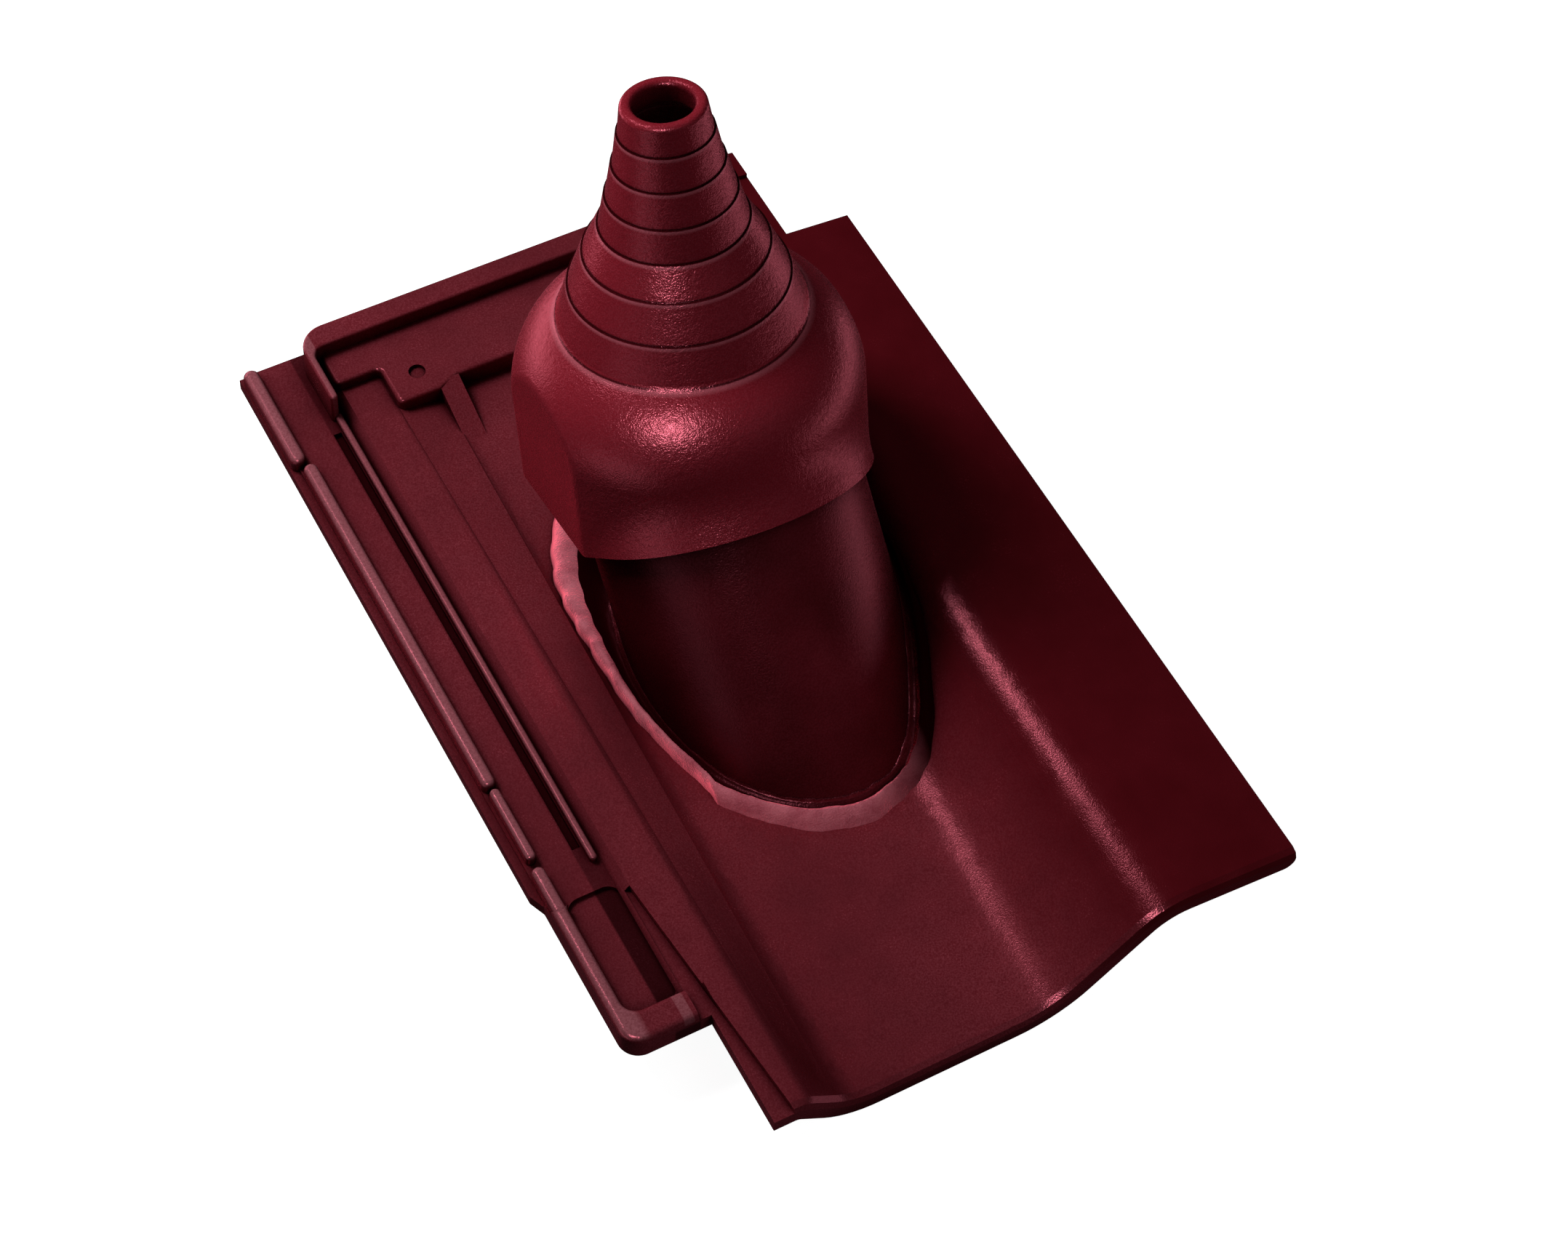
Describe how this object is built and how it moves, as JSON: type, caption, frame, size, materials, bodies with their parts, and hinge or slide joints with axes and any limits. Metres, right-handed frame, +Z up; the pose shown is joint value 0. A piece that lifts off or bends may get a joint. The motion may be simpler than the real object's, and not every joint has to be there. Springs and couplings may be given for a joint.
{
  "type": "antenna roof tile",
  "caption": "Interlocking clay pan tile with a slanted tubular neck, a bead of luting clay round its foot and a soft stepped cone cap that seals round an antenna mast.",
  "frame": {"origin": "centre of the bounding box in plan, on the plane the tile lies on", "axes": "+X across the tile towards the covering roll, +Y from the foot to the head, +Z up out of the tile's face"},
  "size_m": [0.307, 0.472, 0.2834],
  "materials": {
    "tile_clay": "wine red engobe, fine speckle, half matt",
    "neck_clay": "wine red engobe, smooth, half gloss",
    "luting_clay": "wine red, hand smoothed, matt",
    "soft_cap": "wine red, moulded with a fine orange peel grain"
  },
  "bodies": {
    "root": {"roof_tile": "tile_clay", "mast_neck": "neck_clay", "neck_collar": "luting_clay", "mast_cap": "soft_cap"}
  },
  "joints": []
}
